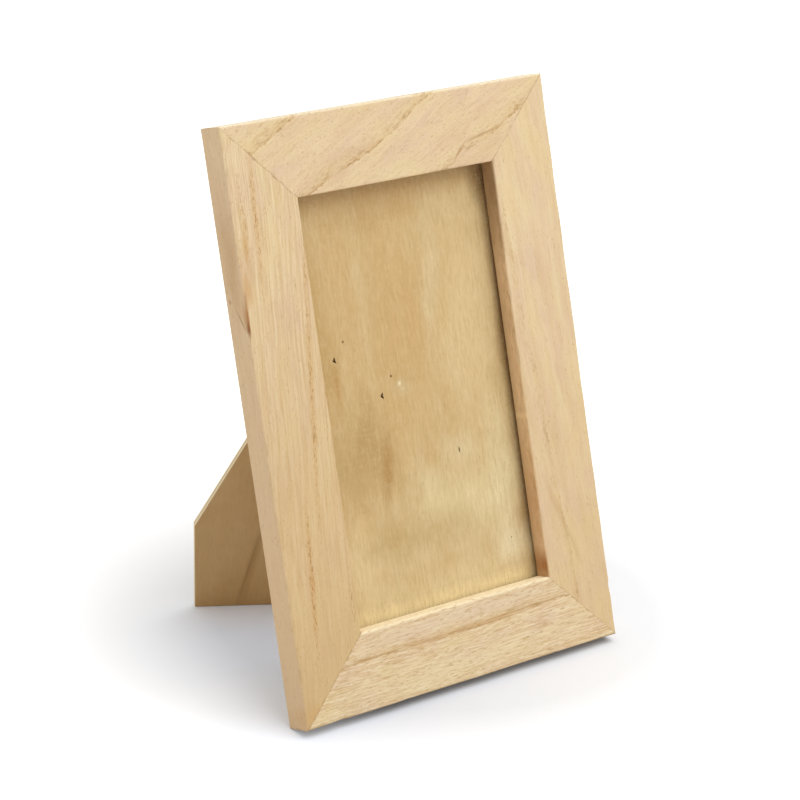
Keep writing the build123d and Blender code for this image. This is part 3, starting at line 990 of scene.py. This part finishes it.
# brass sheet, stamped: warm yellow, darker where it was handled
brass = workedMetal("stamped brass", {
    "bright": "#D8B467", "dull": "#B08A45",
    "scratch": (0.5, 0.5, 3.0), "patch": 4.0, "roughness": (0.25, 0.42),
})

# small metal pieces, the node's own shape with eased edges: body, slot, metal, ease
fittings = {
    "hinge_board_leaf": ("frame", "hinge_steel", zincPlate, 0.12),
    "hinge_leg_leaf": ("leg", "hinge_steel", zincPlate, 0.12),
    "hinge_pin": ("frame", "hinge_steel", zincPlate, 0.15),
    "leg_rivets": ("leg", "nail_steel", pinIron, 0.06),
    "board_rivets": ("frame", "nail_steel", pinIron, 0.06),
    "corner_nails": ("frame", "nail_steel", nailSteel, 0.08),
}
for place in ("top", "bottom", "left", "right"):
    fittings["turn_button_" + place] = ("button_" + place, "button_brass", brass, 0.2)


def pinStop(spot):  # the pins end under the board's face, deep under it in the torn pits
    torn = [onFrame(x, u, boardFront) for x, u, corners in board["tornPits"]]
    nearest = min((spot - place).cross(front).length for place in torn)
    depth = board["pinDepth"] if nearest < board["pitReach"] * mm else board["tipDepth"]
    return front.dot(torn[0]) - depth * mm


def makeFittings():
    for node, (body, slot, metal, ease) in fittings.items():
        piece = easedCopy(node, node + "_metal", ease)
        if node == "board_rivets":
            for vertex in piece.data.vertices:
                over = vertex.co.dot(front) - pinStop(vertex.co)
                vertex.co -= front * max(over, 0.0)
        piece.data.materials.append(metal)
        dress(piece, body, slot, node)


makeFittings()
print("hinge, buttons and nails made")

# bright drawn steel, turned: the screws, light grey with a tight shine
screwSteel = workedMetal("bright steel", {
    "bright": "#C2C2C0", "dull": "#979692",
    "scratch": (0.3, 0.3, 0.3), "patch": 2.0, "roughness": (0.2, 0.36),
})
screwLow, screwHigh = reach(("turn_button_screws",), back)
screw = {
    "Head Radius": 2.6,
    "Head Height": 1.4,
    "Edge Round": 0.35,
    "Shank Radius": 1.2,
    "Thread Depth": 0.32,
    "Thread Pitch": 1.1,
    "Plain Neck": 1.6,
    "Point Length": 2.2,
    "Whole Length": (screwHigh - screwLow) / mm,
    "Recess Width": 0.75,
    "Recess Length": 2.9,
    "Recess Depth": 0.9,
}
crownShare = 0.72  # flat part of the head, of its radius
rimShare = 0.55  # where its side turns upright, of its height
threadShare = 0.6  # the most that the thread takes of the radius, near the point
turnSteps = 41
lineSteps = 121


def panHeadScrewTree():
    tree, put = newTree("panHeadScrew", {
        "Places": "Geometry",
        **dict.fromkeys(screw, "Float"),
        "Way Out": "Vector",
        "Seed": "Int",
        "Steel": "Material",
    })
    size = put("NodeGroupInput").outputs

    # half outline from the crown of the head to the point, as a curve in radius and height
    seat = put("Math MULTIPLY", (size["Head Height"], -1.0))
    tip = put("Math MULTIPLY", (size["Whole Length"], -1.0))
    taper = put("Math ADD", (tip, size["Point Length"]))
    crown = put("Math MULTIPLY", (size["Head Radius"], crownShare))
    rim = put("Math MULTIPLY", (seat, rimShare))
    radius, shank = size["Head Radius"], size["Shank Radius"]
    head = ((0.0, 0.0, 0.0), (crown, 0.0, 0.0), (radius, 0.0, rim), (radius, 0.0, seat))
    points = (*head, (shank, 0.0, seat), (shank, 0.0, taper), (0.0, 0.0, tip))
    line = put("GeometryNodeCurvePrimitiveLine")
    run = put("GeometryNodeResampleCurve", {"Curve": line, "Count": len(points)}, mode="COUNT")
    spots = placedByNumber(put, put("GeometryNodeInputIndex"), points)
    half = put("GeometryNodeSetPosition", {"Geometry": run, "Position": spots})
    rounded = {"Curve": half, "Count": 4, "Radius": size["Edge Round"]}
    eased = put("GeometryNodeFilletCurve", rounded, mode="POLY")

    # turned on a grid: one way round the axis, the other along the outline
    sheet = put("GeometryNodeMeshGrid", {
        "Size X": 1.0, "Size Y": 1.0, "Vertices X": turnSteps, "Vertices Y": lineSteps,
    })
    flat = put("SeparateXYZ", {0: put("GeometryNodeInputPosition")}).outputs
    share = put("Math SUBTRACT", (0.5, flat[1]))
    around = put("Math ADD", (flat[0], 0.5))
    angle = put("Math MULTIPLY", (around, math.tau))
    outline = put("GeometryNodeSampleCurve", {"Curves": eased, "Factor": share}, mode="FACTOR")
    at = put("SeparateXYZ", {0: outline.outputs["Position"]}).outputs

    # thread: a ridge that climbs one pitch in each turn, below a plain neck
    climb = put("Math DIVIDE", (at[2], size["Thread Pitch"]))
    phase = put("Math ADD", (climb, around))
    ridge = put("Math PINGPONG", (phase, 0.5))
    start = put("Math SUBTRACT", (seat, size["Plain Neck"]))
    below = put("Math LESS_THAN", (at[2], start))
    cut = put("Math MULTIPLY", (ridge, 2.0))
    groove = put("Math MULTIPLY", (cut, below))
    deep = put("Math MULTIPLY", (groove, size["Thread Depth"]))
    most = put("Math MULTIPLY", (at[0], threadShare))
    bite = put("Math MINIMUM", (deep, most))
    wide = put("Math SUBTRACT", (at[0], bite))
    cosine = put("Math COSINE", {0: angle})
    sine = put("Math SINE", {0: angle})
    x = put("Math MULTIPLY", (wide, cosine))
    y = put("Math MULTIPLY", (wide, sine))
    wound = put("CombineXYZ", (x, y, at[2]))
    turned = put("GeometryNodeSetPosition", {"Geometry": sheet, "Position": wound})
    whole = put("GeometryNodeMergeByDistance", {"Geometry": turned, "Distance": 0.004 * mm})

    # cross recess
    twice = put("Math MULTIPLY", (size["Recess Depth"], 2.0))
    recessed = put("GeometryNodeMeshBoolean", {"Mesh 1": whole}, operation="DIFFERENCE", solver="EXACT")
    for ends in (("Recess Length", "Recess Width"), ("Recess Width", "Recess Length")):
        box = put("CombineXYZ", (size[ends[0]], size[ends[1]], twice))
        arm = put("GeometryNodeMeshCube", {"Size": box})
        tree.links.new(arm.outputs[0], recessed.inputs["Mesh 2"])

    # one at each place, each left at its own turn
    face = put("FunctionNodeAlignRotationToVector", {"Vector": size["Way Out"]}, axis="Z")
    twist = put("FunctionNodeRandomValue", {2: 0.0, 3: math.tau, "Seed": size["Seed"]}, data_type="FLOAT")
    spin = put("FunctionNodeAxisAngleToRotation", {"Axis": (0, 0, 1), "Angle": twist.outputs[1]})
    stance = put("FunctionNodeRotateRotation", (face, spin), rotation_space="LOCAL")
    copies = put("GeometryNodeInstanceOnPoints", {
        "Points": size["Places"], "Instance": recessed, "Rotation": stance,
    })
    solid = put("GeometryNodeRealizeInstances", {"Geometry": copies})
    done = put("GeometryNodeSetMaterial", {"Geometry": solid, "Material": size["Steel"]})
    put("NodeGroupOutput", {"Geometry": done})
    return tree


def makeScrews():
    places = []
    for name, joint in joints.items():
        if name.startswith("button"):
            spot = Vector(joint["pos_m"])
            places.append(spot + back * (screwHigh - spot.dot(back)))
    mesh = bpy.data.meshes.new("screw_places")
    mesh.from_pydata(places, [], [])
    worker = workObject("screw_places", mesh)
    turn = worker.modifiers.new("screws", "NODES")
    turn.node_group = panHeadScrewTree()
    setInputs(turn, {name: value * mm for name, value in screw.items()})
    setInputs(turn, {"Way Out": back, "Seed": 4, "Steel": screwSteel})
    piece = plainMesh(worker, "turn_button_screws_steel")
    crease(piece.data)
    dress(piece, "frame", "screw_steel", "turn_button_screws")


makeScrews()
print("screws turned")

# plain floor, and soft light from above, in front and to the right; metres
stage = {
    "floorSize": 6.0,
    "floorTone": "#F3F4F6",
    # a painted shadow on the floor, greyer in front of the frame's foot
    "paintedShadowTone": "#DEE2EA",
    "paintedShadowPlace": (-0.06, -0.062, 0.0),
    "paintedShadowReach": (0.14, 0.052, 1.0),
    "glowNear": 0.03,
    "glowFar": 0.6,
    "glowPlace": (0.035, 0.005, 0.0),
    "glowReach": (0.092, 0.212),
    "shadeTone": "#A0D0FF",
    "shadeFill": 0.17,
    "shadePlace": (-0.045, 0.015, 0.0),
    "shadeReach": (0.012, 0.062),
    "ambient": 0.6,
    # place in metres, width, power
    "lamps": {
        "softbox": ((0.35, -0.65, 1.6), 1.8, 18.0),
        "fill": ((-1.0, 0.35, 0.6), 1.2, 0.9),
    },
}


def seenDirectly(put):  # 1 for what the eye, a mirror or the glass shows, 0 for light on the object
    ray = put("LightPath").outputs
    seen = put("Math MAXIMUM", (ray["Is Camera Ray"], ray["Is Glossy Ray"]))
    seen = put("Math MAXIMUM", (seen, ray["Is Transmission Ray"]))
    first = put("Math LESS_THAN", (ray["Diffuse Depth"], 0.5))
    return put("Math MULTIPLY", (seen, first))


# white paper, smooth and matt: lit by the lamps, and by a glow of its own that fades to white far off; greyer
# in front of the frame's foot, a painted shadow
def whitePaper(name):
    material, put = newMaterial(name)
    where = put("TexCoord").outputs["Object"]
    paintedShadow = {"Vector": where, "Location": stage["paintedShadowPlace"], "Scale": stage["paintedShadowReach"]}
    ahead = put("Mapping", paintedShadow, vector_type="TEXTURE")
    ahead = put("VectorMath LENGTH", {0: ahead}).outputs["Value"]
    # painted shadow: the paper greyer towards the frame's foot
    tone = layered(put, stage["floorTone"], ((stage["paintedShadowTone"], ahead, 1.0, 0.0, 1.0),))
    paper = put("BsdfDiffuse", {"Color": tone})
    seen = seenDirectly(put)

    # the second glow keeps the shade behind the frame grey, not brown from the wood
    glows = (
        ("glow", (1, 1, 1, 1), stage["glowNear"], stage["glowFar"]),
        ("shade", linear(stage["shadeTone"]), stage["shadeFill"], 0.0),
    )
    for kind, colour, inside, outside in glows:
        near, far = stage[kind + "Reach"]
        away = put("VectorMath DISTANCE", (where, stage[kind + "Place"])).outputs["Value"]
        level = put("MapRange", (away, near, far, inside, outside))
        level = put("Math MULTIPLY", (seen, level))
        glow = put("Emission", {"Color": colour, "Strength": level})
        paper = put("AddShader", (paper, glow))
    put("OutputMaterial", {0: paper})
    return material


def makeStage():
    shape = bmesh.new()
    bmesh.ops.create_grid(shape, x_segments=1, y_segments=1, size=stage["floorSize"] / 2)
    mesh = meshFrom(shape, "floor")
    mesh.materials.append(whitePaper("white paper floor"))
    floor = workObject("floor", mesh)

    world = bpy.data.worlds.new("studio")
    scene.world = world
    world.use_nodes = True
    world.node_tree.nodes.clear()
    put = partial(addNode, world.node_tree)
    level = put("MapRange", {0: seenDirectly(put), 3: stage["ambient"], 4: 1.0})
    sky = put("Background", {"Color": (1, 1, 1, 1), "Strength": level})
    put("OutputWorld", {0: sky})

    for name, (place, width, power) in stage["lamps"].items():
        lamp = bpy.data.lights.new(name, "AREA")
        lamp.shape = "DISK"
        lamp.size = width
        lamp.energy = power
        box = bpy.data.objects.new(name, lamp)
        scene.collection.objects.link(box)
        box.visible_glossy = False  # no lamp in the pane
        place = Vector(place)
        aim = (onFrame(0, frameHeight / 2) - place).to_track_quat("-Z", "Y")
        box.matrix_world = Matrix.Translation(place) @ aim.to_matrix().to_4x4()


makeStage()
scene.view_settings.view_transform = "Standard"
print("stage lit")
